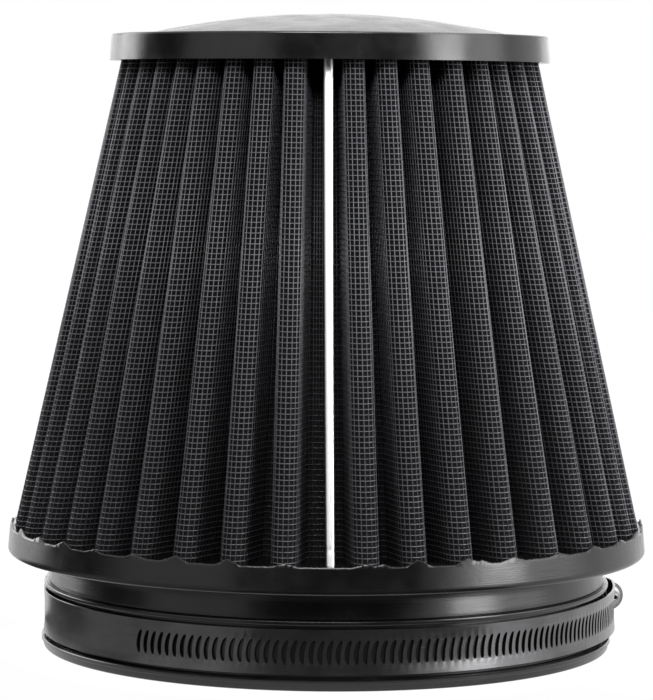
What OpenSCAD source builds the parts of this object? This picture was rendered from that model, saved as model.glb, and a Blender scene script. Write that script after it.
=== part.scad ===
// Cone air filter: a pleated gauze cone between two wire screens, moulded into
// a soft end cap and a soft base flange whose neck takes a slotted band clamp.
// Millimetres, +Z up. The origin is the centre of the neck's open end.
// Angles round the axis are measured from the front (-Y) towards +X.

/* [Neck] */
// Radius of the neck's bore, which slides over the intake pipe
neck_bore_r = 76.2; // [74:0.1:77.5]
// Radius of the neck where the clamp sits
groove_r = 83; // [81.5:0.1:83.5]
// Radius of the retaining lip at the open end
lip_r = 85.8; // [85:0.1:88]
// Height of the retaining lip
lip_h = 3.2; // [2.6:0.1:5]
// Depth that the lower half of the lip is stepped in
lip_step = 0.6; // [0.3:0.1:1]
// Radius of the bead above the clamp
bead_r = 85; // [84.4:0.1:87]
// Height of the bead
bead_h = 1.5; // [1:0.1:2.5]
// Height of the plain neck between the bead and the flange
neck_h = 8.4; // [6:0.05:16]

/* [Base flange] */
// Largest radius of the flange
flange_r = 95.85; // [95.45:0.05:102]
// Height of the flange
flange_h = 7.9; // [5:0.05:12]
// Draft of the flange's outer wall over its height
flange_draft = 0.6; // [0.2:0.1:1.2]
// Radius of the flange's lower corner
flange_corner_r = 1.5; // [0.5:0.1:2.5]
// Radius of the fillet between the neck and the flange
neck_fillet_r = 2; // [0.5:0.1:4]
// Height that the moulding climbs in front of each fold
flash_h = 2.3; // [1:0.1:3]
// Width of that climb at the flange's top
flash_w = 8; // [5:0.5:9]
// Thickness of that climb
flash_t = 0.6; // [0.4:0.1:0.8]

/* [Element] */
// Height of the pleated cone between its two mouldings
element_h = 138.9; // [100:0.1:200]
// Radius over the folds at the base flange
crest_base_r = 94.1; // [90:0.1:94.4]
// Radius over the folds at the cap
crest_top_r = 62.5; // [60.5:0.1:64]
// Depth of a fold, from its outer end to the hollow beside it
fold_depth = 14.5; // [11:0.1:14.8]
// Folds round the cone
folds = 39; // [33:1:40]
// Angle between the two folds beside the seam
seam_gap = 15; // [13:0.5:18]
// Unevenness of the folds' places, as angles of up to about two degrees
fold_drift = 1; // [0:0.1:1.1]
// Radius of a fold's outer end at the base
crest_end_base_r = 3.8; // [3.2:0.1:4]
// Radius of a fold's outer end at the cap
crest_end_top_r = 3.15; // [3:0.05:3.3]
// Radius of the hollow between two folds at the base
valley_end_base_r = 1.5; // [0.5:0.1:1.8]
// Radius of the hollow between two folds at the cap
valley_end_top_r = 0.5; // [0.3:0.1:0.6]
// Thickness of the pleated gauze
media_t = 1.6; // [1.2:0.1:1.7]
// Thickness of a woven wire screen
screen_t = 0.5; // [0.3:0.1:0.6]

/* [Seam] */
// Width of the crimped clip over the seam
clip_w = 2.4; // [2:0.1:4]
// Thickness of the clip's sheet
clip_t = 0.4; // [0.3:0.1:0.6]
// Gap between the clip and the fin inside it
clip_fit = 0.05; // [0.02:0.01:0.1]
// Radial length of the clip's legs
clip_leg = 6; // [4:0.1:8]
// Depth of the clip's face behind the folds
clip_drop = 3; // [0.5:0.1:4]

/* [End cap] */
// Radius of the cap's lower edge
cap_r = 65.8; // [64:0.1:70]
// Height of the cap's rim
rim_h = 7.8; // [5:0.1:12]
// Draft of the rim over its height
rim_draft = 0.5; // [0.2:0.1:1.5]
// Radius of the rim's top edge
rim_edge_r = 0.6; // [0.3:0.1:1.5]
// Radius of the dome where it meets the flat rim
dome_r = 56; // [50:0.5:60]
// Rise of the dome above the rim
dome_h = 6.5; // [3:0.1:12]
// Depth of the mould core's recess under the cap
core_depth = 3; // [1:0.1:4]
// Gap between that recess and the folds' inner ends
core_margin = 1.5; // [1:0.1:4]

/* [Clamp] */
// Width of the clamp band
band_w = 13; // [11:0.1:14]
// Thickness of the clamp band
band_t = 0.7; // [0.5:0.05:0.9]
// Gap between the band's edges and the groove's shoulders
band_side_gap = 1; // [0.4:0.05:1.5]
// Gap between the band and the neck
band_fit = 0.05; // [0.05:0.01:0.2]
// Place of the screw housing round the neck
clamp_angle = 111; // [60:1:180]
// Height of the band's outer face over the neck at the housing
saddle_lift = 4.6; // [3.4:0.1:4.8]
// Angle from the housing at which the band leaves the neck to enter it
lift_a = 61; // [56:1:65]
// Angle of the bend at that end of the flat under the housing
bend_a = 20; // [17:0.1:21]
// Angle from the housing at which the band leaves the neck on the tail's side
tail_lift_a = 38; // [36:1:42]
// Angle of the bend at the tail's end of the flat
tail_bend_a = 13; // [12.5:0.1:13.5]
// Inside radius of both bends
bend_r = 12; // [8:0.5:15]
// Length of the free tail past the middle of the housing
tail_l = 42; // [30:1:50]
// Distance between two slots
slot_pitch = 2.5; // [2.2:0.1:3.5]
// Length of a slot across the band
slot_l = 6; // [5:0.1:7]
// Width of a slot
slot_w = 1; // [0.8:0.1:1.3]
// Slant of a slot, which follows the screw's thread
slot_slant = 7; // [3:1:10]
// Angle round the neck at which the slots start
slot_start_a = -43; // [-60:1:20]
// Plain length at the tail's tip
tail_plain = 5; // [3:0.5:8]

/* [Screw housing] */
// Length of the housing
housing_l = 18; // [16:0.5:22]
// Inside radius of the housing's arch
arch_r = 3.5; // [3.4:0.1:4]
// Thickness of the housing's sheet
housing_t = 0.8; // [0.6:0.1:1]
// Length of the saddle that wraps the band
saddle_l = 10; // [8:0.5:13]
// Gap between the housing and the band
housing_fit = 0.05; // [0.02:0.01:0.1]

/* [Worm screw] */
// Clearance round the screw's thread
thread_gap = 0.3; // [0.2:0.05:0.5]
// Radius of the screw's two journals
journal_r = 2.5; // [2:0.1:2.8]
// Running clearance round the journals
journal_fit = 0.05; // [0.02:0.01:0.1]
// End play of the screw in the housing
end_play = 0.15; // [0.1:0.05:0.3]
// Hexagon across its flats
hex_af = 6.8; // [6:0.1:7]
// Height of the hexagon
hex_h = 4.5; // [3:0.1:6]
// Radius of the collar under the hexagon
collar_r = 3.8; // [3.6:0.1:3.9]
// Thickness of that collar
collar_h = 1; // [0.6:0.1:1.5]
// Width of the driver slot
driver_w = 1.2; // [0.8:0.1:1.6]
// Depth of the driver slot
driver_d = 2; // [1:0.1:2.5]
// Radius of the centre hole in the screw's tip
tip_hole_r = 0.9; // [0.5:0.1:1.2]
// Depth of that hole
tip_hole_d = 1.5; // [1:0.1:3]

/* [Hidden] */

// Heights of the mouldings and the element
groove_z = lip_h;
groove_h = band_w + 2 * band_side_gap;
bead_z = groove_z + groove_h;
flange_z = bead_z + bead_h + neck_h;
element_z = flange_z + flange_h;
cap_z = element_z + element_h;
rim_top_z = cap_z + rim_h;

// Fold geometry
fold_pitch = (360 - seam_gap) / (folds - 1);
sheet_t = media_t + 2 * screen_t;
crest_steps = 5;
valley_steps = 2;

// Clamp geometry, in a frame whose +X runs out through the housing
band_r = groove_r + band_fit;
band_mid_z = groove_z + groove_h / 2;
layer_step = band_t + housing_fit;
outer_level = groove_r + saddle_lift - band_t;
inner_level = outer_level - layer_step;
arch_x = outer_level + band_t + housing_fit + arch_r;
arch_out_r = arch_r + housing_t;
screw_half_l = housing_l / 2 - housing_t - end_play;
feed_way = [bend_a, lift_a];
tail_way = [tail_bend_a, tail_lift_a];
bend_steps = 5;
strip_step = 2.9;
saddle_half_w = band_w / 2 + housing_fit + housing_t;
cut = 0.5;

$fn = 96;

// Share of the way up the element, from 0 at the flange to 1 at the cap
function rise(base, top, share) = base + (top - base) * share;

// Point on a circle round c
function on_circle(c, r, a) = [c[0] + r * cos(a), c[1] + r * sin(a)];

// Angle of a fold, which strays a little from an even spacing
function fold_place(i) =
    let (even = seam_gap / 2 + (i - 1) * fold_pitch)
    even + fold_drift * (0.8 * cos(5 * even) - 1.3 * sin(3 * even + 48));

// Angle from a fold to the hollow on its lower (-1) or upper (1) side
function half_gap(i, side) =
    let (j = i + side)
    j < 1 || j > folds ? fold_pitch / 2 : abs(fold_place(j) - fold_place(i)) / 2;

// Angle at which a leg leaves the fold's round end for a hollow half a gap away
function leg_angle(half, crest_c, hollow_c, reach) =
    let (to_hollow = [hollow_c * cos(half) - crest_c, hollow_c * sin(half)])
    atan2(to_hollow[1], to_hollow[0]) - acos(reach / norm(to_hollow));

// Outline of one sheet surface, inset by depth from the outer face, at a share of the height.
// Each fold is a round outer end joined to round hollows by straight legs.
function fold_points(i, crest_r, tip_r, hollow_r, inset) =
    let (
        a = fold_place(i) - 90,
        low = half_gap(i, -1),
        high = half_gap(i, 1),
        crest_c = crest_r - tip_r,
        hollow_c = crest_r - fold_depth + hollow_r,
        low_leg = leg_angle(low, crest_c, hollow_c, tip_r + hollow_r),
        high_leg = leg_angle(high, crest_c, hollow_c, tip_r + hollow_r),
        c0 = on_circle([0, 0], crest_c, a),
        c1 = on_circle([0, 0], hollow_c, a - low),
        c2 = on_circle([0, 0], hollow_c, a + high)
    )
    concat(
        [for (k = [0:valley_steps])
            on_circle(c1, hollow_r + inset, a - 180 - low + (low - low_leg) * k / valley_steps)],
        [for (k = [0:crest_steps])
            on_circle(c0, tip_r - inset, a - low_leg + (low_leg + high_leg) * k / crest_steps)],
        [for (k = [0:valley_steps - 1])
            on_circle(c2, hollow_r + inset, a + 180 + high_leg + (high - high_leg) * k / valley_steps)]
    );

// Whole outline, from the fold after the seam round to the fold before it
function outline(share, inset) =
    [for (i = [1:folds])
        each fold_points(i,
            rise(crest_base_r, crest_top_r, share),
            rise(crest_end_base_r, crest_end_top_r, share),
            rise(valley_end_base_r, valley_end_top_r, share),
            inset),
     on_circle([0, 0], rise(crest_base_r, crest_top_r, share) - fold_depth - inset,
        fold_place(folds) - 90 + half_gap(folds, 1))];

function at_height(points, z) = [for (p = points) [p[0], p[1], z]];

// Closed pleated sheet between two insets from the outer face
module pleated_sheet(outer_inset, inner_inset) {
    ring = outline(0, outer_inset);
    n = len(ring);
    points = concat(
        at_height(ring, element_z),
        at_height(outline(1, outer_inset), cap_z),
        at_height(outline(0, inner_inset), element_z),
        at_height(outline(1, inner_inset), cap_z));
    faces = [for (i = [0:n - 1]) let (j = (i + 1) % n) each [
        [i, n + j, j],
        [i, n + i, n + j],
        [2 * n + i, 2 * n + j, 3 * n + j],
        [2 * n + i, 3 * n + j, 3 * n + i],
        [i, j, 2 * n + j],
        [i, 2 * n + j, 2 * n + i],
        [n + i, 3 * n + j, n + j],
        [n + i, 3 * n + i, 3 * n + j]]];
    polyhedron(points = points, faces = faces, convexity = 20);
}

// Slope of the cone and the place of the seam clip's face on it
slope_a = atan((crest_base_r - crest_top_r) / element_h);
clip_face_base = crest_base_r - clip_drop;
clip_face_top = crest_top_r - clip_drop;

module filter_media() {
    color("dimgray") pleated_sheet(screen_t, screen_t + media_t);
}

// The inner and outer screens are drawn as closed sheets
module inner_screen() {
    color([0.16, 0.16, 0.17]) pleated_sheet(screen_t + media_t, sheet_t);
}

// The pinched ends of the sheets stand out as a fin inside the seam clip
module outer_screen() {
    fin_t = clip_w - 2 * clip_t - 2 * clip_fit;
    fin_gap = (clip_t + clip_fit) / cos(slope_a);
    root = fold_depth + screen_t / 2;
    color([0.16, 0.16, 0.17]) {
        union() {
            pleated_sheet(0, screen_t);
            rotate([0, 0, -90])
                rotate([90, 0, 0])
                    translate([0, 0, -fin_t / 2])
                        linear_extrude(fin_t)
                            polygon([
                                [crest_base_r - root, element_z],
                                [clip_face_base - fin_gap, element_z],
                                [clip_face_top - fin_gap, cap_z],
                                [crest_top_r - root, cap_z]]);
        }
    }
}

// Folded strip with a round nose, pressed over the fin
module seam_clip() {
    run = element_h / cos(slope_a) + 2 * clip_leg;
    nose = clip_w / 2;
    leg = clip_leg - nose;
    color("gainsboro")
        intersection() {
            rotate([0, 0, -90])
                translate([clip_face_base, 0, element_z])
                    rotate([0, -slope_a, 0])
                        translate([-nose / cos(slope_a), 0, -clip_leg])
                            linear_extrude(run)
                                difference() {
                                    union() {
                                        circle(r = nose);
                                        translate([-leg, -nose])
                                            square([leg, clip_w]);
                                    }
                                    translate([-leg - cut, -nose + clip_t])
                                        square([leg + cut + nose - clip_t, clip_w - 2 * clip_t]);
                                }
            translate([-clip_w, -crest_base_r, element_z])
                cube([2 * clip_w, crest_base_r, element_h]);
        }
}

// Neck with its lip, clamp groove and bead, and the flange that holds the cone's foot
module base_flange() {
    lip_mid = lip_h * 0.58;
    lip_low_r = lip_r - lip_step;
    color([0.13, 0.13, 0.14])
        union() {
            rotate_extrude($fn = 180)
                polygon(concat(
                    [[neck_bore_r, 0],
                    [lip_low_r - lip_step, 0],
                    [lip_low_r - lip_step / 3, lip_step],
                    [lip_low_r, lip_mid],
                    [lip_r, lip_mid],
                    [lip_r, lip_h],
                    [groove_r, lip_h],
                    [groove_r, bead_z],
                    [bead_r - bead_h / 4, bead_z],
                    [bead_r, bead_z + bead_h / 4],
                    [bead_r, bead_z + bead_h * 3 / 4],
                    [bead_r - bead_h / 4, bead_z + bead_h],
                    [groove_r + bead_h / 4, bead_z + bead_h],
                    [groove_r, bead_z + bead_h * 5 / 4]],
                    [for (k = [0:6])
                        [groove_r + neck_fillet_r * (1 - cos(k * 15)),
                        flange_z - neck_fillet_r * (1 - sin(k * 15))]],
                    [for (k = [0:6])
                        [flange_r - flange_corner_r * (1 - sin(k * 15)),
                        flange_z + flange_corner_r * (1 - cos(k * 15))]],
                    [[flange_r - flange_draft, element_z],
                    [neck_bore_r, element_z]]));
            for (i = [1:folds])
                flash_lobe(fold_place(i));
        }
}

// Round lobe of moulding that climbs in front of one fold
module flash_lobe(a) {
    lobe_r = (flash_w * flash_w / 4 + flash_h * flash_h) / (2 * flash_h);
    face_r = flange_r - flange_draft;
    intersection() {
        rotate([0, 0, a - 90])
            translate([face_r - flash_t, 0, element_z + flash_h - lobe_r])
                rotate([0, 90, 0])
                    cylinder(r = lobe_r, h = flash_t);
        translate([-flange_r, -flange_r, element_z - flange_h / 4])
            cube([2 * flange_r, 2 * flange_r, flange_h / 4 + flash_h]);
    }
}

// Cap that closes the cone's narrow end, with a shallow dome
module end_cap() {
    sphere_r = (dome_r * dome_r + dome_h * dome_h) / (2 * dome_h);
    core_r = crest_top_r - fold_depth - sheet_t - core_margin;
    rim_top_r = cap_r - rim_draft;
    dome_a = asin(dome_r / sphere_r);
    dome_steps = 12;
    color([0.14, 0.14, 0.15])
        rotate_extrude($fn = 180)
            polygon(concat(
                [[0, cap_z + core_depth],
                [core_r - core_depth / 2, cap_z + core_depth],
                [core_r, cap_z],
                [cap_r, cap_z]],
                [for (k = [0:3])
                    [rim_top_r - rim_edge_r * (1 - cos(k * 30)),
                    rim_top_z - rim_edge_r * (1 - sin(k * 30))]],
                [for (k = [0:dome_steps]) let (a = dome_a * (1 - k / dome_steps))
                    [sphere_r * sin(a), rim_top_z + dome_h - sphere_r * (1 - cos(a))]]));
}

// Each way off the flat is a bend and then a large arc, given as [bend, lift] angles.
// Extra radius of the large arc that carries the band from the neck up to a level
function lift_k(level, way) =
    (level - band_r * cos(way[0]) - bend_r * (1 - cos(way[0]))) / (cos(way[0]) - cos(way[1]));

// Half length of the flat that the band makes at that level
function flat_half(level, way) =
    (band_r + lift_k(level, way) - bend_r) * sin(way[0]) - lift_k(level, way) * sin(way[1]);

// Lengths of the bend and of the large arc
function bend_length(way) = bend_r * way[0] * PI / 180;
function lift_length(level, way) = (band_r + lift_k(level, way)) * (way[1] - way[0]) * PI / 180;

// Place and facing of the band's inner face, s along it from the middle of the housing
function band_place(s, level, way, extra) =
    let (
        flat = flat_half(level, way),
        k = lift_k(level, way),
        s1 = flat + bend_length(way),
        s2 = s1 + lift_length(level, way),
        a = s < flat ? 0
            : s < s1 ? (s - flat) / bend_r * 180 / PI
            : s < s2 ? way[0] + (s - s1) / (band_r + k) * 180 / PI
            : way[1] + (s - s2) / band_r * 180 / PI,
        c = s < flat ? [level, s]
            : s < s1 ? on_circle([level - bend_r, flat], bend_r + extra, a)
            : s < s2 ? on_circle([-k * cos(way[1]), -k * sin(way[1])], band_r + k + extra, a)
            : on_circle([0, 0], band_r + extra, a)
    )
    [c[0] + (s < flat ? extra : 0), c[1], a];

// Points of an arc round c, past its first one
function arc_points(c, r, from, to, steps) =
    [for (k = [1:steps]) on_circle(c, r, from + (to - from) * k / steps)];

// Bend and large arc that bring the band from the flat at a level down to an angle.
// extra sets the face: 0 is the inner one.
function lift_points(level, way, extra, to) =
    let (k = lift_k(level, way), bend_c = [level - bend_r, flat_half(level, way)])
    concat(
        [on_circle(bend_c, bend_r + extra, 0)],
        arc_points(bend_c, bend_r + extra, 0, way[0], bend_steps),
        arc_points([-k * cos(way[1]), -k * sin(way[1])], band_r + k + extra, way[0], to,
            ceil((to - way[0]) / strip_step)));

function reversed(points) = [for (i = [len(points) - 1:-1:0]) points[i]];

// One face of the strip, from its fixed end round the neck to the tip of its tail
function strip_face(extra) =
    let (
        tail_k = lift_k(inner_level, tail_way),
        tail_arc = (tail_l - flat_half(inner_level, tail_way) - bend_length(tail_way))
            / (band_r + tail_k) * 180 / PI,
        neck = arc_points([0, 0], band_r + extra, tail_lift_a, 360 - lift_a,
            ceil((360 - tail_lift_a - lift_a) / strip_step))
    )
    concat(
        [[inner_level + extra, -saddle_l / 2]],
        lift_points(inner_level, tail_way, extra, tail_lift_a),
        [for (i = [0:len(neck) - 2]) neck[i]],
        [for (p = reversed(lift_points(outer_level, feed_way, extra, lift_a))) [p[0], -p[1]]],
        lift_points(inner_level, tail_way, layer_step + extra, tail_bend_a + tail_arc));

// Curved slot, cut straight through the band at a place on it
module band_slot(place) {
    half = slot_l / 2;
    bow_r = slot_l * 1.5;
    function bow(z) = sqrt(bow_r * bow_r - z * z) - bow_r;
    function edge(z) = slot_w / 2 * sqrt(max(0, 1 - pow(z / half, 4)));
    rows = [-1, -0.85, -0.4, 0.4, 0.85, 1] * half;
    translate([place[0], place[1], 0])
        rotate([0, 0, place[2]])
            rotate([slot_slant, 0, 0])
                translate([-cut, 0, 0])
                    rotate([90, 0, 90])
                        linear_extrude(band_t + 2 * cut)
                            polygon(concat(
                                [for (z = rows) [bow(z) + max(0.15, edge(z)), z]],
                                [for (k = [5:-1:0])
                                    [bow(rows[k]) - max(0.15, edge(rows[k])), rows[k]]]));
}

// One strip: its fixed end lies in the housing, it runs round the neck, and its
// slotted end passes over the fixed end through the housing
module clamp_band() {
    slot_start_s = flat_half(outer_level, feed_way) + bend_length(feed_way)
        + lift_length(outer_level, feed_way)
        + (clamp_angle - lift_a - slot_start_a) * PI / 180 * band_r;
    color([0.45, 0.44, 0.43])
        translate([0, 0, band_mid_z])
            rotate([0, 0, clamp_angle - 90])
                difference() {
                    translate([0, 0, -band_w / 2])
                        linear_extrude(band_w)
                            polygon(concat(strip_face(0), reversed(strip_face(band_t))));
                    mirror([0, 1, 0])
                        for (s = [0:slot_pitch:slot_start_s])
                            band_slot(band_place(s, outer_level, feed_way, 0));
                    for (s = [slot_pitch:slot_pitch:tail_l - tail_plain])
                        band_slot(band_place(s, inner_level, tail_way, layer_step));
                }
}

// Arched housing whose saddle wraps both layers of the band
module clamp_housing() {
    saddle_top = outer_level + band_t + housing_fit;
    saddle_low = inner_level - housing_fit;
    color([0.6, 0.6, 0.6])
        translate([0, 0, band_mid_z])
            rotate([0, 0, clamp_angle - 90])
                difference() {
                    union() {
                        housing_form(housing_l, arch_out_r, saddle_top);
                        translate([saddle_low - housing_t, -saddle_l / 2, -saddle_half_w])
                            cube([saddle_top - saddle_low + 2 * housing_t, saddle_l, 2 * saddle_half_w]);
                    }
                    housing_form(housing_l - 2 * housing_t, arch_r, saddle_top - cut);
                    translate([saddle_low, -saddle_l / 2 - cut, -band_w / 2 - housing_fit])
                        cube([saddle_top - saddle_low, saddle_l + 2 * cut, band_w + 2 * housing_fit]);
                    translate([arch_x, -housing_l, 0])
                        rotate([-90, 0, 0])
                            cylinder(r = journal_r + journal_fit, h = 2 * housing_l);
                }
}

// Round-topped bar of the housing's outer or inner size, cut off flat at its foot
module housing_form(l, r, foot_x) {
    foot = foot_x - arch_x;
    translate([arch_x, l / 2, 0])
        rotate([90, 0, 0])
            linear_extrude(l) {
                intersection() {
                    circle(r = r);
                    translate([foot, -r])
                        square([r - foot, 2 * r]);
                }
                translate([foot, -r])
                    square([-foot, 2 * r]);
            }
}

// Screw that drives the band: tip, thread, neck, collar and slotted hexagon
module worm_screw() {
    thread_r = arch_r - thread_gap;
    tip_y = -housing_l / 2 - housing_t / 2;
    collar_y = housing_l / 2 + end_play;
    hex_y = collar_y + collar_h;
    color([0.7, 0.7, 0.68])
        translate([0, 0, band_mid_z])
            rotate([0, 0, clamp_angle - 90])
                translate([arch_x, 0, 0])
                    rotate([-90, 0, 0])
                        difference() {
                            union() {
                                translate([0, 0, -screw_half_l])
                                    cylinder(r = thread_r, h = 2 * screw_half_l);
                                translate([0, 0, tip_y])
                                    cylinder(r = journal_r, h = collar_y - tip_y + collar_h / 2);
                                translate([0, 0, collar_y])
                                    cylinder(r = collar_r, h = collar_h);
                                translate([0, 0, collar_y + collar_h / 2])
                                    cylinder(r = hex_af / 2 / cos(30), h = collar_h / 2 + hex_h, $fn = 6);
                            }
                            translate([0, 0, tip_y - cut])
                                cylinder(r = tip_hole_r, h = tip_hole_d + cut);
                            translate([-hex_af, -driver_w / 2, hex_y + hex_h - driver_d])
                                cube([2 * hex_af, driver_w, driver_d + cut]);
                        }
}

base_flange();
filter_media();
outer_screen();
inner_screen();
seam_clip();
end_cap();
clamp_band();
clamp_housing();
worm_screw();
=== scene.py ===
"""A clamp-on cone air filter on a white table: pleated gauze under black wire cloth,
two soft black mouldings, a bright seam strip and a slotted band clamp."""

import math
import random

import bmesh
import bpy
from mathutils import Matrix, Vector, noise


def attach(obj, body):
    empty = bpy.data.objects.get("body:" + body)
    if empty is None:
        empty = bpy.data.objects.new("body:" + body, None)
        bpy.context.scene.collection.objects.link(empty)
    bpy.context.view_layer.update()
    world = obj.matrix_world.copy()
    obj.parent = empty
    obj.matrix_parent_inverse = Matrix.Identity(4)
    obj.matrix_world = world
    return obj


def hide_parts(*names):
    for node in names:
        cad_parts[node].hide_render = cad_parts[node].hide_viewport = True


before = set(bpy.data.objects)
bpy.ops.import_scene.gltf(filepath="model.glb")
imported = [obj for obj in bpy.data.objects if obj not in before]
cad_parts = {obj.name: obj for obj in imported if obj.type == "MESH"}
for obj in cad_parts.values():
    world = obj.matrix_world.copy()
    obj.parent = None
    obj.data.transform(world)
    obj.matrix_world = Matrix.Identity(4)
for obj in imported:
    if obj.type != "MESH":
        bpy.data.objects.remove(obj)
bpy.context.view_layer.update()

# Camera: a long lens a metre from the seam side, level with the cap's lower edge,
# tipped down a little so that the foot of the filter is seen from above.
mm = 0.001
lens_mm = 165
camera_distance = 963.7 * mm
camera_height = 161.95 * mm
camera_side = -0.4 * mm
camera_pitch = math.radians(4.36)
camera_roll = math.radians(0.41)

camera = bpy.data.objects.new("camera", bpy.data.cameras.new("camera"))
camera.data.lens = lens_mm
camera.data.sensor_width = 36
camera.data.clip_end = 20
aim = Matrix.Rotation(math.pi / 2 - camera_pitch, 4, "X") @ Matrix.Rotation(camera_roll, 4, "Z")
camera.matrix_world = Matrix.Translation((camera_side, -camera_distance, camera_height)) @ aim
bpy.context.scene.collection.objects.link(camera)
bpy.context.scene.camera = camera
bpy.context.scene.view_settings.view_transform = "Standard"


# Studio: a white table and backdrop, strip lights and soft boxes on both sides, a soft key over
# the camera, a top light, and dark cards in front that keep the front of the mouldings dark.
def linear(hex_colour):
    """An sRGB hex colour as a linear RGBA."""
    channels = [int(hex_colour[i:i + 2], 16) / 255 for i in (1, 3, 5)]
    return tuple(c / 12.92 if c <= 0.04045 else ((c + 0.055) / 1.055) ** 2.4 for c in channels) + (1,)


def add_node(tree, kind, links=None, **settings):
    """Adds a node with its settings. links gives its inputs, each a socket or a plain value."""
    node = tree.nodes.new(kind)
    for name, value in settings.items():
        setattr(node, name, value)
    for key, value in (links or {}).items():
        if isinstance(value, bpy.types.NodeSocket):
            tree.links.new(value, node.inputs[key])
        else:
            node.inputs[key].default_value = value
    return node


def seen_ray(tree):
    """A factor that is 1 for what the camera, a reflection or a clear piece shows."""
    path = add_node(tree, "ShaderNodeLightPath")
    glossy = add_node(tree, "ShaderNodeMath", {0: path.outputs["Is Camera Ray"],
                      1: path.outputs["Is Glossy Ray"]}, operation="MAXIMUM")
    both = add_node(tree, "ShaderNodeMath", {0: glossy.outputs[0],
                    1: path.outputs["Is Transmission Ray"]}, operation="MAXIMUM")
    return both.outputs[0]


room = bpy.data.worlds.new("white room")
room.use_nodes = True
room.node_tree.nodes.clear()
room_light = add_node(room.node_tree, "ShaderNodeBackground", {"Color": linear("#ffffff"), "Strength": 0.30})
room_white = add_node(room.node_tree, "ShaderNodeBackground", {"Color": linear("#ffffff"), "Strength": 1.0})
room_mix = add_node(room.node_tree, "ShaderNodeMixShader",
                    {0: seen_ray(room.node_tree), 1: room_light.outputs[0], 2: room_white.outputs[0]})
add_node(room.node_tree, "ShaderNodeOutputWorld", {"Surface": room_mix.outputs[0]})
bpy.context.scene.world = room


def flat_piece(name, corners, material):
    """One flat four-cornered sheet."""
    mesh = bpy.data.meshes.new(name)
    mesh.from_pydata(corners, [], [(0, 1, 2, 3)])
    mesh.materials.append(material)
    piece = bpy.data.objects.new(name, mesh)
    bpy.context.scene.collection.objects.link(piece)
    return piece


# The table is white to the camera, with a trace of the shade under the object.
table_half = 3.0
shade_share = 0.03
table_white = bpy.data.materials.new("white table")
table_white.use_nodes = True
tree = table_white.node_tree
tree.nodes.clear()
table_matt = add_node(tree, "ShaderNodeBsdfDiffuse", {"Color": linear("#f4f4f4")})
table_glow = add_node(tree, "ShaderNodeEmission", {"Color": linear("#ffffff"), "Strength": 1.02})
table_seen = add_node(tree, "ShaderNodeMixShader",
                      {0: shade_share, 1: table_glow.outputs[0], 2: table_matt.outputs[0]})
table_mix = add_node(tree, "ShaderNodeMixShader",
                     {0: seen_ray(tree), 1: table_matt.outputs[0], 2: table_seen.outputs[0]})
add_node(tree, "ShaderNodeOutputMaterial", {"Surface": table_mix.outputs[0]})
table = flat_piece("table", [(-table_half, -table_half, 0), (table_half, -table_half, 0),
                             (table_half, table_half, 0), (-table_half, table_half, 0)], table_white)

# Black cards stand round the front from far left to near right, and lie on the table
# before the filter, where they are grey. Only reflections and bounced light see them.
card_radius = 1.25
card_from = math.radians(-112)
card_to = math.radians(45)
card_top = 0.55
card_near = 0.1005
card_lift = 0.5 * mm
card_steps = 24
grey_from, grey_to = math.radians(-82), math.radians(-18)
felt_shades = {"black felt card": "#0c0c0c", "grey felt card": "#909090", "dark grey felt card": "#343434"}
card_felts = []
for name, shade in felt_shades.items():
    felt = bpy.data.materials.new(name)
    felt.use_nodes = True
    felt.node_tree.nodes["Principled BSDF"].inputs["Base Color"].default_value = linear(shade)
    felt.node_tree.nodes["Principled BSDF"].inputs["Roughness"].default_value = 1.0
    card_felts.append(felt)
standing, lying_left, lying_right = range(3)
card_points = []
for k in range(card_steps + 1):
    turn = card_from + (card_to - card_from) * k / card_steps
    out = Vector((math.sin(turn), -math.cos(turn), 0))
    card_points += [out * card_near + Vector((0, 0, card_lift)),
                    out * card_radius + Vector((0, 0, card_lift)),
                    out * card_radius + Vector((0, 0, card_top))]
card_faces, card_kinds = [], []
for k in range(card_steps):
    turn = card_from + (card_to - card_from) * (k + 0.5) / card_steps
    for row in range(2):
        a = 3 * k + row
        card_faces.append((a, a + 3, a + 4, a + 1))
        lying = lying_left if grey_from < turn < grey_to else lying_right
        card_kinds.append(lying if row == 0 else standing)
card_mesh = bpy.data.meshes.new("cards")
card_mesh.from_pydata(card_points, [], card_faces)
for felt in card_felts:
    card_mesh.materials.append(felt)
card_mesh.polygons.foreach_set("material_index", card_kinds)
cards = bpy.data.objects.new("cards", card_mesh)
cards.visible_camera = False
bpy.context.scene.collection.objects.link(cards)


def soft_light(name, turn, rise, distance, width, height, watts):
    """A soft box that faces the filter, turn degrees right of the camera and rise degrees up."""
    lamp = bpy.data.lights.new(name, "AREA")
    lamp.shape = "RECTANGLE"
    lamp.size = width
    lamp.size_y = height
    lamp.energy = watts
    box = bpy.data.objects.new(name, lamp)
    target = Vector((0, 0, 95 * mm))
    turn, rise = math.radians(turn), math.radians(rise)
    out = Vector((math.sin(turn) * math.cos(rise), -math.cos(turn) * math.cos(rise), math.sin(rise)))
    box.location = target + out * distance
    box.rotation_euler = (-out).to_track_quat("-Z", "Y").to_euler()
    bpy.context.scene.collection.objects.link(box)


soft_light("strip light right", 61, 8, 1.1, 0.35, 1.0, 11)
soft_light("soft box right", 86, 12, 1.3, 0.5, 1.0, 3.5)
soft_light("fill left", -53, 5, 1.15, 1.65, 0.8, 2.7)
soft_light("low fill right", 45, -2.7, 1.2, 0.42, 0.14, 0.27)
soft_light("backdrop light", 180, 30, 1.6, 2.0, 0.75, 2.5)
soft_light("low backdrop light", 180, 3, 1.6, 2.4, 0.5, 3.5)
soft_light("soft box left", -128, 15, 1.3, 0.5, 1.0, 5)
soft_light("key over camera", -5, 38, 1.2, 0.8, 0.3, 8)
soft_light("top light", 160, 70, 1.1, 0.9, 0.6, 8)


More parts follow.
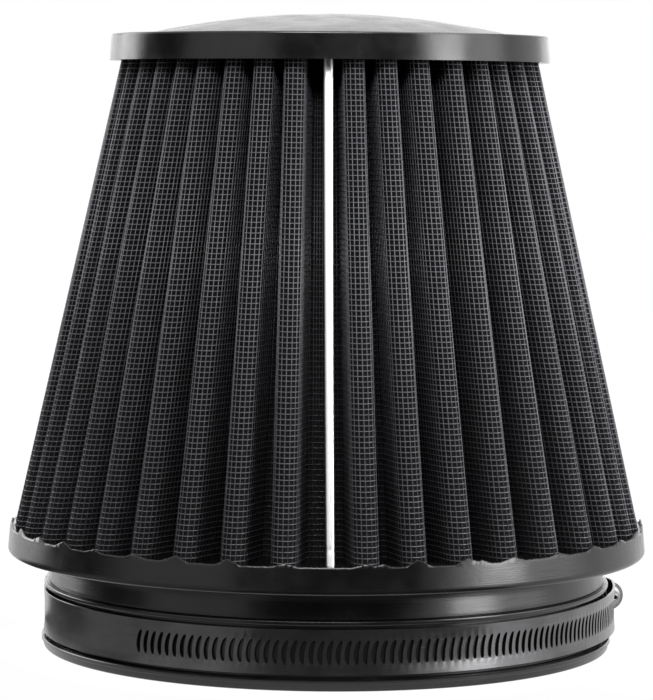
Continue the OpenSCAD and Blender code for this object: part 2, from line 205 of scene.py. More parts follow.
# Base moulding: the flange and the neck are one casting of soft black polyurethane, poured
# round the foot of the pleats. Where it met the pleats it climbed them and left a thin ragged
# edge. It is semi-gloss, with fine mould grain and dull patches.
def new_material(name):
    """A new material with a Principled shader, as the material, its node tree and the shader."""
    material = bpy.data.materials.new(name)
    material.use_nodes = True
    return material, material.node_tree, material.node_tree.nodes["Principled BSDF"]


urethane, tree, shader = new_material("moulded black polyurethane")
grain_mm = 0.45
flow_mm = 9.0
skim_mm = 0.5
place = add_node(tree, "ShaderNodeTexCoord").outputs["Object"]
grain = add_node(tree, "ShaderNodeTexNoise", {"Vector": place, "Scale": 1 / (grain_mm * mm),
                 "Detail": 3.0, "Roughness": 0.6})
flow = add_node(tree, "ShaderNodeTexNoise", {"Vector": place, "Scale": 1 / (flow_mm * mm), "Detail": 4.0})
tint = add_node(tree, "ShaderNodeValToRGB", {0: flow.outputs["Fac"]})
tint.color_ramp.elements[0].position = 0.3
tint.color_ramp.elements[0].color = linear("#0e0e0f")
tint.color_ramp.elements[1].position = 0.75
tint.color_ramp.elements[1].color = linear("#161617")
rub = add_node(tree, "ShaderNodeMapRange", {0: flow.outputs["Fac"], 1: 0.3, 2: 0.7, 3: 0.17, 4: 0.29})
skim = add_node(tree, "ShaderNodeMapping", {"Vector": place, "Scale": (0.03, 0.03, 1)})
skim_lines = add_node(tree, "ShaderNodeTexNoise", {"Vector": skim.outputs[0], "Scale": 1 / (skim_mm * mm),
                      "Detail": 3.0, "Roughness": 0.6})
relief = add_node(tree, "ShaderNodeMath", {0: grain.outputs["Fac"], 1: skim_lines.outputs["Fac"]},
                  operation="ADD")
bump = add_node(tree, "ShaderNodeBump", {"Height": relief.outputs[0], "Strength": 0.45,
                "Distance": 0.05 * mm})
tree.links.new(tint.outputs["Color"], shader.inputs["Base Color"])
tree.links.new(rub.outputs[0], shader.inputs["Roughness"])
tree.links.new(bump.outputs[0], shader.inputs["Normal"])
shader.inputs["IOR"].default_value = 1.5

bore_r = 76.2
groove_r = 83.0
lip_r, lip_h, lip_step = 85.8, 3.2, 0.6
bead_r, bead_low, bead_top = 85.0, 18.2, 19.7
flange_r, flange_low, flange_top, flange_draft = 95.85, 28.1, 36.0, 0.6
corner_r = 1.5
fillet_r = 1.2
neck_draft = 0.6
lip_round, bead_round, ease = 0.6, 0.5, 0.3
step_z, step_round, lip_edge = 2.0, 0.15, 0.25
fold_count = 39
seam_gap = 15
fold_pitch = (360 - seam_gap) / (fold_count - 1)

# Degrees that a few of the pleats beside the seam lean sideways by the time they reach the cap.
fold_lean = {1: -0.5, 3: 0.7, 4: 2.0, 5: 1.9, 36: -0.9, 37: -0.9, 38: -1.5, 39: -2.1}


def fold_place(fold, share=0):
    """Turn of a pleat round the axis, which strays a little from an even spacing."""
    even = seam_gap / 2 + (fold - 1) * fold_pitch
    stray = 0.8 * math.cos(math.radians(5 * even)) - 1.3 * math.sin(math.radians(3 * even + 48))
    return math.radians(even + stray + fold_lean.get(fold, 0) * share)


def arc(centre, radius, start, end, steps):
    """Points along an arc, both ends included, with angles in degrees."""
    angles = [math.radians(start + (end - start) * k / steps) for k in range(steps + 1)]
    return [(centre[0] + radius * math.cos(a), centre[1] + radius * math.sin(a)) for a in angles]


def pleat_height(turn, lobes):
    """Height in mm that the casting climbed at this place round the flange."""
    climb = 0
    for centre, height, left, right in lobes:
        off = (turn - centre + math.pi) % (2 * math.pi) - math.pi
        width = left if off < 0 else right
        share = abs(off) * flange_r / width
        if share < 1:
            climb = max(climb, height * (1 - share) ** lobe_sharp)
    return climb


# Each lobe is a place round the flange, a height, and a reach to its left and right.
draw = random.Random(4)
lobe_low, lobe_top, lobe_sharp = 0.9, 2.0, 1.15
reach_low, reach_top = 3.4, 5.6
spill_share, spill_off, spill_low, spill_top = 0.35, 0.045, 0.7, 1.2
lobes = []
for fold in range(1, fold_count + 1):
    centre = fold_place(fold) + draw.uniform(-0.006, 0.006)
    lobes.append((centre, draw.uniform(lobe_low, lobe_top),
                  draw.uniform(reach_low, reach_top), draw.uniform(reach_low, reach_top)))
    if draw.random() < spill_share:
        side = draw.choice((-1, 1))
        lobes.append((centre + side * spill_off, draw.uniform(spill_low, spill_top), reach_low, reach_low))

wall_low, wall_top = flange_low + corner_r, flange_top
wall_shares = (0.1, 0.5, 0.85, 0.93)
face_r = flange_r - flange_draft
base_profile = (
    [(bore_r + ease, 0.0), (lip_r - 2 * lip_step, 0.0)]
    + arc((lip_r - 2 * lip_step, lip_round), lip_round, -90, -10, 4)
    + [(lip_r - lip_step, step_z - 0.1), (lip_r - lip_step, step_z)]
    + [(lip_r - step_round, step_z), (lip_r, step_z + step_round)]
    + [(lip_r, lip_h - lip_edge), (lip_r - lip_edge, lip_h), (groove_r + ease, lip_h), (groove_r, lip_h + ease)]
    + [(groove_r, bead_low - 0.2), (groove_r + 0.2, bead_low), (bead_r - 0.4, bead_low)]
    + arc((bead_r - bead_round, bead_low + bead_round), bead_round, -90, 0, 3)
    + arc((bead_r - bead_round, bead_top - bead_round), bead_round, 0, 90, 3)
    + [(groove_r + 0.35, bead_top), (groove_r + neck_draft, bead_top + ease / 2)]
    + [(groove_r + neck_draft * (1 - k / 5), bead_top + ease + k) for k in range(6)]
    + arc((groove_r + fillet_r, flange_low - fillet_r), fillet_r, 175, 90, 5)
    + arc((flange_r - corner_r, flange_low + corner_r), corner_r, -90, 0, 6)
    + [(flange_r - flange_draft * share, wall_low + (wall_top - wall_low) * share) for share in wall_shares])
edge_outer = len(base_profile)
base_profile += [(face_r, flange_top - 0.25), (face_r - 0.2, flange_top), (face_r - 0.5, flange_top)]
base_profile += [(face_r - 0.7, flange_top), (bore_r, flange_top), (bore_r, ease)]
base_steps = 1200
edge_least, edge_lean = 0.1, 0.05
rag_waves = ((140, 0.25), (420, 0.12))
base_points = []
for step in range(base_steps):
    turn = 2 * math.pi * step / base_steps
    out = Vector((math.sin(turn), -math.cos(turn), 0))
    climb = pleat_height(turn, lobes)
    rag = sum(noise.noise(out * scale) * size for scale, size in rag_waves)
    for index, (radius, height) in enumerate(base_profile):
        if edge_outer <= index <= edge_outer + 2:
            height += max(edge_least, climb + edge_least + rag)
            radius -= climb * edge_lean
        base_points.append(out * radius * mm + Vector((0, 0, height * mm)))


def smooth_piece(name, points, faces, material):
    """A smooth-shaded piece from its points and faces."""
    mesh = bpy.data.meshes.new(name)
    mesh.from_pydata(points, [], faces)
    mesh.materials.append(material)
    mesh.shade_smooth()
    piece = bpy.data.objects.new(name, mesh)
    bpy.context.scene.collection.objects.link(piece)
    return piece


sharp_turn = math.radians(35)


def turned_piece(name, points, rows, steps, material):
    """A piece from rings of points: rows points at each of steps places round the axis."""
    faces = []
    for step in range(steps):
        here, there = step * rows, (step + 1) % steps * rows
        for row in range(rows):
            above = (row + 1) % rows
            faces.append((here + row, there + row, there + above, here + above))
    piece = smooth_piece(name, points, faces, material)
    piece.data.set_sharp_from_angle(angle=sharp_turn)
    return piece


base = turned_piece("base_moulding", base_points, len(base_profile), base_steps, urethane)
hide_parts("base_flange")
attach(base, "filter")


# Gauze: four layers of black cotton, folded into pleats between the two wire cloths.
# Only its darkness and a faint thread pattern show through the wire. A few pleats lean sideways.
gauze, tree, shader = new_material("black cotton gauze")
thread_mm = 0.6
place = add_node(tree, "ShaderNodeTexCoord").outputs["Object"]
thread = add_node(tree, "ShaderNodeTexNoise", {"Vector": place, "Scale": 1 / (thread_mm * mm), "Detail": 2.0})
tint = add_node(tree, "ShaderNodeValToRGB", {0: thread.outputs["Fac"]})
tint.color_ramp.elements[0].color = linear("#0b0b0c")
tint.color_ramp.elements[1].color = linear("#141415")
bump = add_node(tree, "ShaderNodeBump", {"Height": thread.outputs["Fac"], "Strength": 0.5,
                "Distance": 0.15 * mm})
tree.links.new(tint.outputs["Color"], shader.inputs["Base Color"])
tree.links.new(bump.outputs[0], shader.inputs["Normal"])
shader.inputs["Roughness"].default_value = 0.9
shader.inputs["Specular IOR Level"].default_value = 0.2

element_low, element_top = 36.0, 174.9
crest_low_r, crest_top_r = 94.1, 62.5
fold_depth = 14.5
tip_low_r, tip_top_r = 3.8, 3.15
hollow_low_r, hollow_top_r = 1.5, 0.5
hollow_steps, tip_steps = 8, 16
points_per_fold = 24
gauze_outer, gauze_inner = 0.55, 2.05


def half_gap(fold, side, share=0):
    """Turn from a pleat to the hollow on its lower (-1) or upper (1) side."""
    if not 1 <= fold + side <= fold_count:
        return math.radians(fold_pitch) / 2
    return abs(fold_place(fold + side, share) - fold_place(fold, share)) / 2


def fold_line(share, inset, low_half, high_half):
    """One pleat's outline at a share of the height, from hollow to hollow, as (outward, sideways)."""
    crest = crest_low_r + (crest_top_r - crest_low_r) * share
    tip = tip_low_r + (tip_top_r - tip_low_r) * share
    hollow = hollow_low_r + (hollow_top_r - hollow_low_r) * share
    crest_c = crest - tip
    hollow_c = crest - fold_depth + hollow
    sides = []
    for half in (low_half, high_half):
        right = (hollow_c * math.cos(half), hollow_c * math.sin(half))
        across, aside = right[0] - crest_c, right[1]
        leg = math.atan2(aside, across) - math.acos((tip + hollow) / math.hypot(across, aside))
        floor = math.pi + half
        line = []
        for k in range(hollow_steps + 1):
            a = floor + (leg + math.pi - floor) * k / hollow_steps
            line.append((right[0] + (hollow + inset) * math.cos(a), right[1] + (hollow + inset) * math.sin(a)))
        for k in range(tip_steps):
            a = leg * (1 - k / tip_steps)
            line.append((crest_c + (tip - inset) * math.cos(a), (tip - inset) * math.sin(a)))
        sides.append(line)
    return [(x, -y) for x, y in sides[0]] + [(crest - inset, 0.0)] + sides[1][::-1]


def spread(line, count):
    """count points at equal steps along a line, with its far end left out."""
    lengths = [0]
    for a, b in zip(line, line[1:]):
        lengths.append(lengths[-1] + math.dist(a, b))
    points = []
    seg = 0
    for k in range(count):
        goal = lengths[-1] * k / count
        while lengths[seg + 1] < goal:
            seg += 1
        part = (goal - lengths[seg]) / (lengths[seg + 1] - lengths[seg])
        a, b = line[seg], line[seg + 1]
        points.append((a[0] + (b[0] - a[0]) * part, a[1] + (b[1] - a[1]) * part))
    return points


def cloth_line(share, inset, wires_per_fold):
    """The whole outline of a pleated layer, one point where each upright wire stands."""
    points = []
    for fold in range(1, fold_count + 1):
        line = fold_line(share, inset, half_gap(fold, -1, share), half_gap(fold, 1, share))
        for out, side in spread(line, wires_per_fold) + [line[-1]]:
            a = fold_place(fold, share) + math.atan2(side, out)
            r = math.hypot(out, side)
            points.append((r * math.sin(a), -r * math.cos(a)))
        end = points.pop()
    points += spread([end, points[0]], wires_per_fold // 3)
    return points


gauze_low = [cloth_line(0, inset, points_per_fold) for inset in (gauze_inner, gauze_outer)]
gauze_top = [cloth_line(1, inset, points_per_fold) for inset in (gauze_outer, gauze_inner)]
gauze_points = []
for rings in zip(*gauze_low, *gauze_top):
    for (x, y), height in zip(rings, (element_low, element_low, element_top, element_top)):
        gauze_points.append((x * mm, y * mm, height * mm))
pleats = turned_piece("gauze_pleats", gauze_points, 4, len(gauze_low[0]), gauze)
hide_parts("filter_media")
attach(pleats, "filter")


# Wire cloth: 0.25 mm wire woven about 17 to the inch, coated with black epoxy and folded with the
# gauze, so each wire follows the pleats. Its colour is painted darker the deeper it lies between
# them, as painted shade in the hollows. The wires are three-sided, 0.15 mm from middle to corner, to keep their
# triangles few.
wire_coat, tree, shader = new_material("black epoxy-coated wire")
coat_mm = 2.5
place = add_node(tree, "ShaderNodeTexCoord").outputs["Object"]
coat = add_node(tree, "ShaderNodeTexNoise", {"Vector": place, "Scale": 1 / (coat_mm * mm), "Detail": 2.0})
tint = add_node(tree, "ShaderNodeValToRGB", {0: coat.outputs["Fac"]})
tint.color_ramp.elements[0].color = linear("#606065")
tint.color_ramp.elements[1].color = linear("#838389")
across = add_node(tree, "ShaderNodeVectorMath", {0: place, 1: (1, 1, 0)}, operation="MULTIPLY")
radius = add_node(tree, "ShaderNodeVectorMath", {0: across.outputs[0]}, operation="LENGTH")
level = add_node(tree, "ShaderNodeSeparateXYZ", {0: place})
crest = add_node(tree, "ShaderNodeMapRange", {0: level.outputs["Z"], 1: element_low * mm, 2: element_top * mm,
                 3: crest_low_r * mm, 4: crest_top_r * mm})
depth = add_node(tree, "ShaderNodeMath", {0: crest.outputs[0], 1: radius.outputs["Value"]},
                 operation="SUBTRACT")
# Painted shade: the coat is painted darker, towards #08080a, the deeper it lies between the pleats.
painted_hollow_shade = add_node(tree, "ShaderNodeMapRange", {0: depth.outputs[0], 1: 0.5 * mm, 2: 7.0 * mm, 3: 0.0, 4: 0.66})
coat_and_hollow_shade = add_node(tree, "ShaderNodeMix", {0: painted_hollow_shade.outputs[0], 6: tint.outputs["Color"],
                     7: linear("#08080a")}, data_type="RGBA")
tree.links.new(coat_and_hollow_shade.outputs[2], shader.inputs["Base Color"])
shader.inputs["Roughness"].default_value = 0.35
shader.inputs["IOR"].default_value = 1.55

wire_pitch = 1.49
wire_r = 0.15
weave = 0.1
outer_wires_per_fold = 24
inner_wires_per_fold = 12
cloth_insets = {"outer": 0.25, "inner": 2.35}
hoop_sway = 0.22
corner_turns = [math.radians(a) for a in (30, 150, 270)]


def outward(points):
    """The outward normal at each point of a closed outline."""
    normals = []
    n = len(points)
    for k in range(n):
        a, b = points[k - 1], points[(k + 1) % n]
        dx, dy = b[0] - a[0], b[1] - a[1]
        size = math.hypot(dx, dy)
        normals.append((dy / size, -dx / size))
    return normals


def cloth_at(low, top, share):
    """A cloth's outline at a share of the height, between its lowest and its highest."""
    return [(a[0] + (b[0] - a[0]) * share, a[1] + (b[1] - a[1]) * share) for a, b in zip(low, top)]


def upright_wires(name, low, top):
    """Straight three-sided wires from the flange to the cap, one at each point."""
    points, faces = [], []
    normals = outward(low)
    for (lx, ly), (tx, ty), (nx, ny) in zip(low, top, normals):
        start = len(points)
        for x, y, z in ((lx, ly, element_low), (tx, ty, element_top)):
            for a in corner_turns:
                across, out = wire_r * math.cos(a), -wire_r * math.sin(a)
                points.append(((x + nx * out - ny * across) * mm, (y + ny * out + nx * across) * mm, z * mm))
        for k in range(3):
            j = (k + 1) % 3
            faces.append((start + k, start + j, start + 3 + j, start + 3 + k))
        faces.append((start + 2, start + 1, start))
        faces.append((start + 3, start + 4, start + 5))
    return smooth_piece(name, points, faces, wire_coat)


def hoop_wires(name, low, top, rows, amount, sway):
    """Wires that run round the cone through the pleats, over one upright and under the next."""
    points, faces = [], []
    count = len(low)
    for row in rows:
        level = (row + 0.5) * wire_pitch
        start = len(points)
        base_line = cloth_at(low, top, level / (element_top - element_low))
        normals = outward(base_line)
        for k, ((x, y), (nx, ny)) in enumerate(zip(base_line, normals)):
            shift = amount if (row + k) % 2 else -amount
            z = element_low + level + sway[k]
            for a in corner_turns:
                up, out = wire_r * math.cos(a), shift - wire_r * math.sin(a)
                points.append(((x + nx * out) * mm, (y + ny * out) * mm, (z + up) * mm))
        for k in range(count):
            here, there = start + 3 * k, start + 3 * ((k + 1) % count)
            for c in range(3):
                d = (c + 1) % 3
                faces.append((here + c, here + d, there + d, there + c))
    return smooth_piece(name, points, faces, wire_coat)


def cloth_sway(per_fold, size, seed):
    """A small rise or fall of the hoops, which differs from pleat to pleat."""
    draw = random.Random(seed)
    knots = [draw.uniform(-size, size) for _ in range(fold_count)]
    sway = []
    for k in range(fold_count * per_fold + per_fold // 3):
        at = k / per_fold
        i, part = int(at), at - int(at)
        part = part * part * (3 - 2 * part)
        sway.append(knots[i % fold_count] * (1 - part) + knots[(i + 1) % fold_count] * part)
    return sway


hoop_rows = int((element_top - element_low) / wire_pitch)
for side, per_fold, groups in (("outer", outer_wires_per_fold, 4), ("inner", inner_wires_per_fold, 2)):
    inset = cloth_insets[side]
    low = cloth_line(0, inset, per_fold)
    top = cloth_line(1, inset, per_fold)
    sway = cloth_sway(per_fold, hoop_sway, 11)
    pieces = [upright_wires(side + "_upright_wires", low, top)]
    for group in range(groups):
        rows = range(hoop_rows * group // groups, hoop_rows * (group + 1) // groups)
        amount = weave if side == "outer" else 0.0
        pieces.append(hoop_wires(f"{side}_hoop_wires_{group + 1}", low, top, rows, amount, sway))
    for piece in pieces:
        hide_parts(side + "_screen")
        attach(piece, "filter")


# Seam fin: the two ends of the gauze and the wire cloth, pinched flat together and turned
# outwards. The seam strip covers most of it.
fin_half = 0.75
lean_low, lean_top = math.radians(0.7), math.radians(-0.4)
fin_root, fin_face = fold_depth + 0.3, 3.4
fin_points = []
for height, crest, lean in ((element_low, crest_low_r, lean_low), (element_top, crest_top_r, lean_top)):
    for x, out in ((-fin_half, crest - fin_root), (fin_half, crest - fin_root),
                   (fin_half, crest - fin_face), (-fin_half, crest - fin_face)):
        fin_points.append(((x + out * lean) * mm, -out * mm, height * mm))
fin_faces = [(3, 2, 1, 0), (4, 5, 6, 7)] + [(k, (k + 1) % 4, 4 + (k + 1) % 4, 4 + k) for k in range(4)]
fin = smooth_piece("seam_fin", fin_points, fin_faces, gauze)
fin.data.shade_flat()
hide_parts("outer_screen")
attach(fin, "filter")


# Seam strip: a narrow strip of bright aluminium, folded to a U over the seam fin and
# crimped. Its rolled face is bright from top to bottom, and it leans a little as the seam does.
strip_metal, tree, shader = new_material("bright rolled aluminium")
shader.inputs["Base Color"].default_value = linear("#f2f2f2")
shader.inputs["Metallic"].default_value = 1.0
shader.inputs["Roughness"].default_value = 0.38

strip_half, strip_leg, strip_sheet = 1.45, 6.0, 0.4
strip_nose = 0.6
strip_drop = 3.0
strip_steps = 280
slope = math.atan2(crest_low_r - crest_top_r, element_top - element_low)
inner_half = strip_half - strip_sheet
nose_outer = [((x - strip_half) * strip_nose, y) for x, y in arc((0, 0), strip_half, -90, 90, 12)]
nose_inner = [((x - strip_half) * strip_nose, y) for x, y in arc((0, 0), inner_half, 90, -90, 8)]
strip_outer = [(-strip_leg, -strip_half)] + nose_outer + [(-strip_leg, strip_half)]
strip_inner = [(-strip_leg, inner_half)] + nose_inner + [(-strip_leg, -inner_half)]
strip_ring = strip_outer + strip_inner
strip_low_share = 0.83
crimps, crimp_half = [4.2, 134.6], 0.5
crimp_pinch, crimp_deep = 0.05, 0.06
strip_points = []
for step in range(strip_steps + 1):
    share = step / strip_steps
    height = element_low + (element_top - element_low) * share
    face = crest_low_r + (crest_top_r - crest_low_r) * share - strip_drop
    dent = 0
    for crimp in crimps:
        dent += math.exp(-((height - element_low - crimp) / crimp_half) ** 2)
    lean = lean_low + (lean_top - lean_low) * share
    for out, side in strip_ring:
        pull = (strip_low_share + (1 - strip_low_share) * share) * (1 - crimp_pinch * dent)
        depth = face + out / math.cos(slope) - crimp_deep * dent
        strip_points.append(((side * pull + depth * lean) * mm, -depth * mm, height * mm))
rows = len(strip_ring)
strip_faces = []
for step in range(strip_steps):
    here, there = step * rows, (step + 1) * rows
    for row in range(rows):
        above = (row + 1) % rows
        strip_faces.append((here + row, here + above, there + above, there + row))
strip_faces += [tuple(range(rows))[::-1], tuple(range(strip_steps * rows, (strip_steps + 1) * rows))]
strip = smooth_piece("seam_strip", strip_points, strip_faces, strip_metal)
strip.data.set_sharp_from_angle(angle=sharp_turn)
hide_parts("seam_clip")
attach(strip, "filter")


# End cap: the same polyurethane, cast over the narrow end of the pleats as a flat rim with a
# shallow dome. It keeps its own solid.
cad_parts["end_cap"].data.materials[0] = urethane


# Clamp: a strip of stainless steel with punched slots, satin from rolling. It runs once round
# the neck, and its slotted end passes over its fixed end through a stamped housing.
clamp_steel, tree, shader = new_material("satin stainless strip")
brush_mm = 0.3
stain_mm = 12.0
place = add_node(tree, "ShaderNodeTexCoord").outputs["Object"]
stretch = add_node(tree, "ShaderNodeMapping", {"Vector": place, "Scale": (0.04, 0.04, 1)})
lines = add_node(tree, "ShaderNodeTexNoise", {"Vector": stretch.outputs[0], "Scale": 1 / (brush_mm * mm),
                 "Detail": 3.0})
rub = add_node(tree, "ShaderNodeMapRange", {0: lines.outputs["Fac"], 3: 0.2, 4: 0.3})
tint = add_node(tree, "ShaderNodeValToRGB", {0: lines.outputs["Fac"]})
tint.color_ramp.elements[0].color = linear("#5c5c5d")
tint.color_ramp.elements[1].color = linear("#78787a")
stain = add_node(tree, "ShaderNodeTexNoise", {"Vector": place, "Scale": 1 / (stain_mm * mm), "Detail": 3.0})
stained = add_node(tree, "ShaderNodeMapRange", {0: stain.outputs["Fac"], 1: 0.4, 2: 0.65, 3: 0.0, 4: 0.35})
worn_tint = add_node(tree, "ShaderNodeMix", {0: stained.outputs[0], 6: tint.outputs["Color"],
                     7: linear("#413f3d")}, data_type="RGBA")
bump = add_node(tree, "ShaderNodeBump", {"Height": lines.outputs["Fac"], "Strength": 0.12,
                "Distance": 0.02 * mm})
tree.links.new(worn_tint.outputs[2], shader.inputs["Base Color"])
tree.links.new(rub.outputs[0], shader.inputs["Roughness"])
tree.links.new(bump.outputs[0], shader.inputs["Normal"])
shader.inputs["Metallic"].default_value = 1.0

# The slots' punched walls are dull, and their colour, #161617 to #2a2a2b, is painted dark as painted shade
# inside the slots.
slot_wall_shade_steel, tree, shader = new_material("stainless slot wall with painted shade")
slot_wall_mottle_mm = 0.4
place = add_node(tree, "ShaderNodeTexCoord").outputs["Object"]
slot_wall_mottle = add_node(tree, "ShaderNodeTexNoise", {"Vector": place, "Scale": 1 / (slot_wall_mottle_mm * mm), "Detail": 2.0})
tint = add_node(tree, "ShaderNodeValToRGB", {0: slot_wall_mottle.outputs["Fac"]})
tint.color_ramp.elements[0].color = linear("#161617")
tint.color_ramp.elements[1].color = linear("#2a2a2b")
tree.links.new(tint.outputs["Color"], shader.inputs["Base Color"])
shader.inputs["Metallic"].default_value = 1.0
shader.inputs["Roughness"].default_value = 0.6

clamp_turn = math.radians(21)
clamp_z = 10.7
band_r, band_t, band_half = 83.05, 0.7, 6.5
outer_level, inner_level, layer_step = 86.9, 86.15, 0.75
bend_r = 12.0
feed_bend, feed_lift = math.radians(20), math.radians(61)
tail_bend, tail_lift = math.radians(13), math.radians(38)
tail_l, tail_plain, fixed_end = 42.0, 5.0, 5.0
slot_pitch, slot_half, slot_half_w, slot_bow = 2.5, 3.2, 0.6, 9.0
slot_slant = math.radians(7)
slot_shift, slot_end_half = 0.28, 0.16
slot_shares = (-1, -0.93, -0.75, -0.4, 0, 0.4, 0.75, 0.93, 1)
punch_w, punch_deep = 0.1, 0.12
slot_count = 88
edge_in = 0.14
slack, slack_turn = 1.2, math.radians(159)
roll_from, roll_out = 2.5, 0.3
bend_steps, neck_steps, arc_step = 8, 200, 0.02
low_steps, end_steps = 150, 3


def way_off(level, bend, lift, extra, until):
    """Bend and wide arc that take the strip from the flat at a level down to an angle."""
    k = ((level - band_r * math.cos(bend) - bend_r * (1 - math.cos(bend)))
         / (math.cos(bend) - math.cos(lift)))
    flat = (band_r + k - bend_r) * math.sin(bend) - k * math.sin(lift)
    way = []
    for step in range(bend_steps + 1):
        a = bend * step / bend_steps
        way.append((level - bend_r + (bend_r + extra) * math.cos(a), flat + (bend_r + extra) * math.sin(a), a))
    steps = math.ceil((until - bend) / arc_step)
    for step in range(1, steps + 1):
        a = bend + (until - bend) * step / steps
        way.append((-k * math.cos(lift) + (band_r + k + extra) * math.cos(a),
                    -k * math.sin(lift) + (band_r + k + extra) * math.sin(a), a))
    return way


whole_turn = 2 * math.pi
strip_way = [(inner_level, -fixed_end, 0.0)] + way_off(inner_level, tail_bend, tail_lift, 0, tail_lift)
for step in range(1, neck_steps):
    a = tail_lift + (whole_turn - feed_lift - tail_lift) * step / neck_steps
    r = band_r + slack * max(0, math.cos(a - slack_turn)) ** 2
    strip_way.append((r * math.cos(a), r * math.sin(a), a))
feed_way = way_off(outer_level, feed_bend, feed_lift, 0, feed_lift)
strip_way += [(x, -y, whole_turn - a) for x, y, a in feed_way[::-1]]
flat_at = len(strip_way) - 1
strip_way += [(x, y, whole_turn + a)
              for x, y, a in way_off(inner_level, tail_bend, tail_lift, layer_step, tail_lift)]
strip_run = [0.0]
for a, b in zip(strip_way, strip_way[1:]):
    strip_run.append(strip_run[-1] + math.dist(a[:2], b[:2]))
housing_run = strip_run[flat_at] - strip_way[flat_at][1]


def clamp_place(x, y, z):
    """A place in the clamp's own frame, whose x runs out through the housing, in metres."""
    return ((x * math.cos(clamp_turn) - y * math.sin(clamp_turn)) * mm,
            (x * math.sin(clamp_turn) + y * math.cos(clamp_turn)) * mm, (clamp_z + z) * mm)


band_points, band_faces, band_seen = [], [], {}
slot_walls = []


def band_point(run, z, out):
    """Index of the point at a run along the strip, a height on it and a depth through it."""
    key = (round(run, 3), round(z, 3), round(out, 3))
    if key not in band_seen:
        at = 0
        while strip_run[at + 1] < run and at < len(strip_run) - 2:
            at += 1
        part = (run - strip_run[at]) / (strip_run[at + 1] - strip_run[at])
        x, y, a = [p + (q - p) * part for p, q in zip(strip_way[at], strip_way[at + 1])]
        out += roll_out * (max(0, abs(z) - roll_from) / (band_half - roll_from)) ** 2
        band_seen[key] = len(band_points)
        band_points.append(clamp_place(x + out * math.cos(a), y + out * math.sin(a), z))
    return band_seen[key]


face_top = band_half - edge_in
levels = [-face_top, -4.7, -3.1, -1.5, 0.0, 1.5, 3.1, 4.7, face_top]
edge_rows = [(face_top, 0.0), (band_half, edge_in), (band_half, band_t - edge_in), (face_top, band_t)]


def band_edges(low, high):
    """Rounded upper and lower edges of the strip over one step."""
    for sign in (-1, 1):
        for (z1, o1), (z2, o2) in zip(edge_rows, edge_rows[1:]):
            band_faces.append((band_point(low, sign * z1, o1), band_point(high, sign * z1, o1),
                               band_point(high, sign * z2, o2), band_point(low, sign * z2, o2)))


def plain_step(low, high):
    """A step of the strip with no slot."""
    for out in (0.0, band_t):
        for z1, z2 in zip(levels, levels[1:]):
            band_faces.append((band_point(low, z1, out), band_point(high, z1, out),
                               band_point(high, z2, out), band_point(low, z2, out)))
    band_edges(low, high)


def slot_ring(middle, grow, out):
    """Points round a bowed, slanted slot: up its right side and down its left."""
    sides = ([], [])
    for share in slot_shares:
        z = slot_half * share
        centre = slot_bow - math.sqrt(slot_bow ** 2 - z ** 2) + math.tan(slot_slant) * z - slot_shift
        half = max(slot_end_half, slot_half_w * math.sqrt(max(0, 1 - share ** 4))) + grow
        for side, sign in zip(sides, (1, -1)):
            side.append(band_point(middle + centre + sign * half, z * (1 + grow / slot_half), out))
    return sides[0] + sides[1][::-1]


def slotted_step(middle):
    """One slot with the strip round it."""
    low, high = middle - slot_pitch / 2, middle + slot_pitch / 2
    rings = []
    for out in (band_t, 0.0):
        rings.append([band_point(high, z, out) for z in levels]
                     + [band_point(low, z, out) for z in levels[::-1]])
    rings[1:1] = [slot_ring(middle, punch_w, band_t), slot_ring(middle, 0.0, band_t - punch_deep),
                  slot_ring(middle, 0.0, 0.0)]
    for band, (here, there) in enumerate(zip(rings, rings[1:])):
        for k in range(len(here)):
            j = (k + 1) % len(here)
            if band in (1, 2):
                slot_walls.append(len(band_faces))
            band_faces.append((here[k], here[j], there[j], there[k]))
    band_edges(low, high)


slots_low = housing_run - (slot_count + 0.5) * slot_pitch
slots_on_tail = int((tail_l - tail_plain) / slot_pitch)
slots_high = housing_run + (slots_on_tail + 0.5) * slot_pitch
strip_end = housing_run + tail_l
end_run = strip_end - slots_high
plain_runs = [(slots_low * k / low_steps, slots_low * (k + 1) / low_steps) for k in range(low_steps)]
plain_runs += [(slots_high + end_run * k / end_steps, slots_high + end_run * (k + 1) / end_steps)
               for k in range(end_steps)]
for low, high in plain_runs:
    plain_step(low, high)
for k in range(-slot_count, slots_on_tail + 1):
    slotted_step(housing_run + k * slot_pitch)
for run in (0.0, strip_end):
    for z1, z2 in zip(levels, levels[1:]):
        band_faces.append((band_point(run, z1, 0.0), band_point(run, z2, 0.0),
                           band_point(run, z2, band_t), band_point(run, z1, band_t)))
    for sign in (-1, 1):
        band_faces.append(tuple(band_point(run, sign * z, out) for z, out in edge_rows))


def faced_out(piece):
    """Turns every face of a closed piece outwards and smooths it between its edges."""
    shape = bmesh.new()
    shape.from_mesh(piece.data)
    bmesh.ops.recalc_face_normals(shape, faces=shape.faces)
    shape.to_mesh(piece.data)
    shape.free()
    piece.data.shade_smooth()
    piece.data.set_sharp_from_angle(angle=sharp_turn)


band = smooth_piece("clamp_strip", band_points, band_faces, clamp_steel)
# The slot walls get the dark material with painted shade.
band.data.materials.append(slot_wall_shade_steel)
for face in slot_walls:
    band.data.polygons[face].material_index = 1
faced_out(band)
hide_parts("clamp_band")
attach(band, "filter")


# Clamp housing: an arch and a saddle stamped from the same steel, which hold the screw and both
# layers of the strip. It keeps its own solid.
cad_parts["clamp_housing"].data.materials[0] = clamp_steel


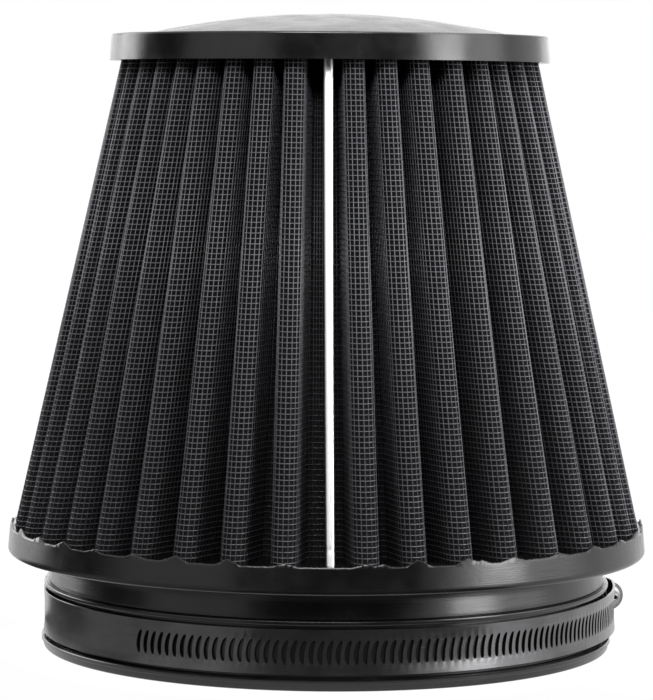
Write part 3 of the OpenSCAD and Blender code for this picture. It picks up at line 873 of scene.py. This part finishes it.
# Worm screw: a rolled thread between two journals, a peened tip at the front with a centre
# hole, and a slotted hexagon at the back.
screw_steel, tree, shader = new_material("zinc-plated steel")
plate_mm = 0.8
place = add_node(tree, "ShaderNodeTexCoord").outputs["Object"]
plating = add_node(tree, "ShaderNodeTexNoise", {"Vector": place, "Scale": 1 / (plate_mm * mm), "Detail": 2.0})
rub = add_node(tree, "ShaderNodeMapRange", {0: plating.outputs["Fac"], 3: 0.22, 4: 0.36})
shader.inputs["Base Color"].default_value = linear("#8d8c8a")
shader.inputs["Metallic"].default_value = 1.0
tree.links.new(rub.outputs[0], shader.inputs["Roughness"])

screw_x = 91.15
thread_core, thread_top, thread_pitch, thread_end = 2.55, 3.15, 2.5, 7.9
thread_fade, thread_sharp = 1.2, 1.6
hole_r = 0.6
hex_flats, hex_low, hex_top = 6.8, 9.65, 14.65
slot_w, slot_deep = 1.2, 2.0
screw_steps = 48

# The screw's profile, as (radius, place along the axis). The thread has None for its radius.
screw_rows = [(hole_r, -10.9), (hole_r, -12.35), (0.85, -12.5), (1.3, -12.3), (1.8, -11.6), (2.15, -10.6),
              (2.2, -9.75), (2.9, -9.65), (3.2, -9.45), (3.2, -9.25), (3.0, -9.1), (2.5, -9.1), (2.5, -8.1)]
thread_rows = 64
screw_rows += [(None, -thread_end + 2 * thread_end * k / thread_rows) for k in range(thread_rows + 1)]
screw_rows += [(2.5, 8.1), (2.5, 9.15), (3.6, 9.15), (3.8, 9.35), (3.8, 9.95), (3.6, 10.15),
               (hole_r, 10.15), (hole_r, 9.3)]
screw_points = []
for step in range(screw_steps):
    a = whole_turn * step / screw_steps
    for radius, y in screw_rows:
        if radius is None:
            wave = math.cos(a + whole_turn * y / thread_pitch)
            fade = min(1, (thread_end - abs(y)) / thread_fade)
            radius = thread_core + (thread_top - thread_core) * (0.5 + 0.5 * wave) ** thread_sharp * fade
        screw_points.append(clamp_place(screw_x + radius * math.cos(a), y, radius * math.sin(a)))
screw = turned_piece("worm_screw_body", screw_points, len(screw_rows), screw_steps, screw_steel)
faced_out(screw)

head_points, head_faces = [], []


def add_prism(outline, low, high):
    """A prism along the screw's axis over an outline of (out, up) points."""
    start, n = len(head_points), len(outline)
    for y in (low, high):
        head_points.extend(clamp_place(screw_x + x, y, z) for x, z in outline)
    head_faces.append(tuple(start + k for k in range(n)))
    head_faces.append(tuple(start + n + k for k in range(n))[::-1])
    for k in range(n):
        j = (k + 1) % n
        head_faces.append((start + k, start + n + k, start + n + j, start + j))


corner = hex_flats / 2 / math.cos(math.radians(30))
hexagon = [(corner * math.cos(math.radians(60 * k)), corner * math.sin(math.radians(60 * k))) for k in range(6)]
slot_x = corner - slot_w / 2 / math.tan(math.radians(60))
add_prism(hexagon, hex_low, hex_top - slot_deep)
for sign in (-1, 1):
    half_head = [(slot_x, sign * slot_w / 2)] + [(x, sign * abs(z)) for x, z in hexagon[1:3]]
    half_head.append((-slot_x, sign * slot_w / 2))
    add_prism(half_head, hex_top - slot_deep, hex_top)
head = smooth_piece("worm_screw_head", head_points, head_faces, screw_steel)
faced_out(head)
for piece in (screw, head):
    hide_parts("worm_screw")
    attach(piece, "screw")
